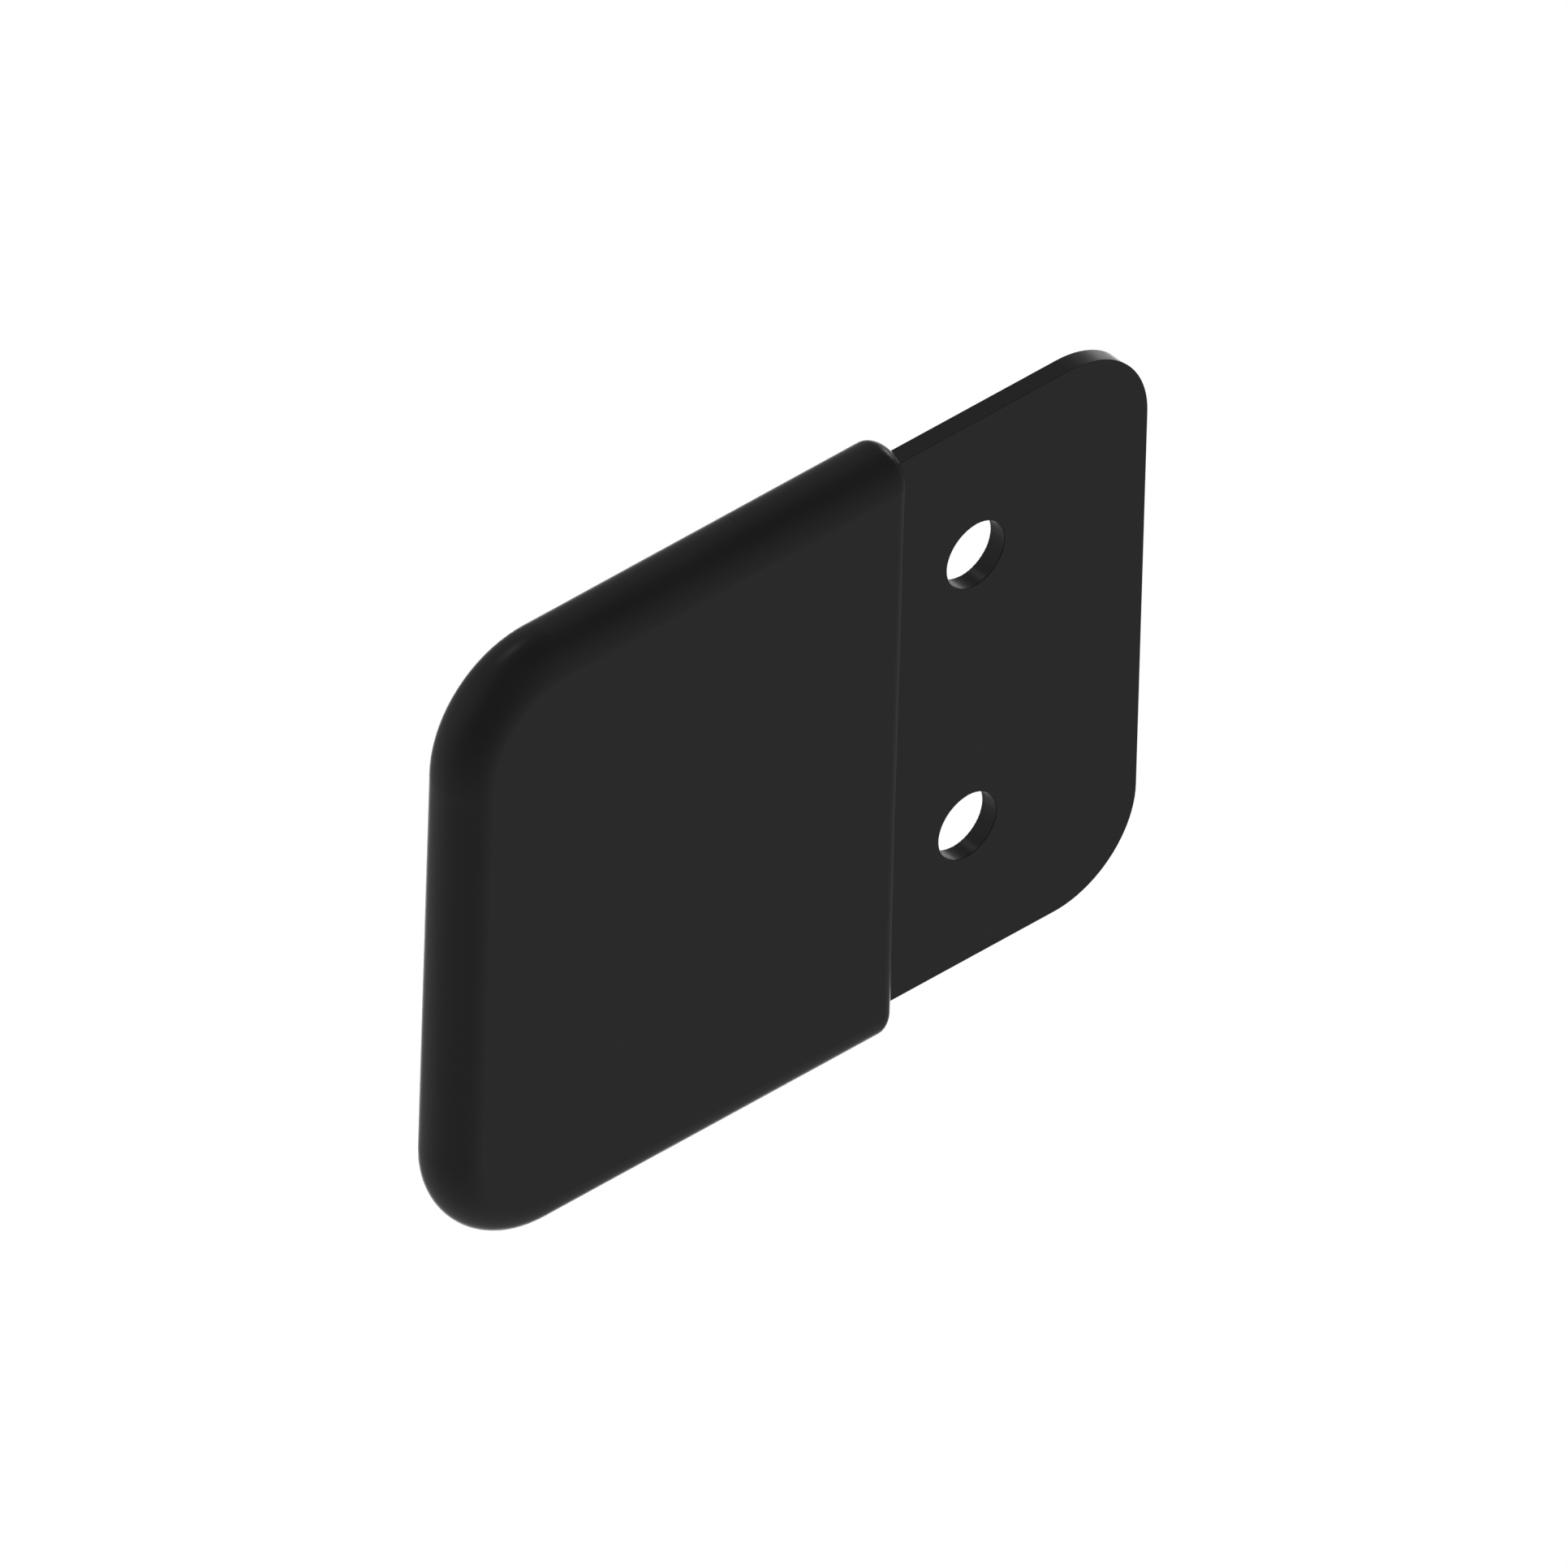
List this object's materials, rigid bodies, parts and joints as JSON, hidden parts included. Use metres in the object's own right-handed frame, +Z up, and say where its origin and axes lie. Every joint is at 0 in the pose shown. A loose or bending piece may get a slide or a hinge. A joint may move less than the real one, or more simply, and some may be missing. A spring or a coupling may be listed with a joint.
{
  "type": "door hinge",
  "caption": "Half-surface door hinge: a bare steel leaf bolts to the frame, a slim full-round cover hides the door leaf and knuckle.",
  "frame": {"origin": "midway between the two frame-leaf bolt holes, on the face of the leaf that bears on the frame", "axes": "+X towards the leaf's free edge, away from the cover; +Y towards the door's face; +Z up, along the hinge pin"},
  "size_m": [0.1098, 0.0089, 0.0864],
  "materials": {
    "leaf_black": "satin black powder coat on steel",
    "cover_black": "satin black powder coat on a zinc die casting",
    "base_black": "fine-textured black nylon",
    "gasket_rubber": "matt black rubber sheet",
    "strip_rubber": "matt black rubber",
    "pin_steel": "ground stainless steel",
    "screw_steel": "black-oxide steel",
    "insert_steel": "zinc-plated steel",
    "bush_bronze": "sintered bronze",
    "washer_acetal": "natural acetal"
  },
  "bodies": {
    "frame_side": {"frame_leaf": "leaf_black", "hinge_pin": "pin_steel", "pin_lock_screw": "screw_steel", "end_washer_top": "washer_acetal", "end_washer_bottom": "washer_acetal"},
    "door_side": {"door_leaf": "leaf_black", "cover": "cover_black", "base_plate": "base_black", "back_gasket": "gasket_rubber", "stop_strip": "strip_rubber", "lower_knuckle_bush_bottom": "bush_bronze", "lower_knuckle_bush_top": "bush_bronze", "upper_knuckle_bush_bottom": "bush_bronze", "upper_knuckle_bush_top": "bush_bronze", "cover_screw_lower_left": "screw_steel", "cover_screw_lower_right": "screw_steel", "cover_screw_upper_left": "screw_steel", "cover_screw_upper_right": "screw_steel", "door_insert_1": "insert_steel", "door_insert_2": "insert_steel", "door_insert_3": "insert_steel", "door_insert_4": "insert_steel"}
  },
  "joints": [
    {"name": "door_swing", "type": "hinge", "parent": "frame_side", "child": "door_side", "pos_m": [-0.01835, 0.00125, 0], "axis": [0, 0, -1], "range_deg": [0, 96]}
  ]
}
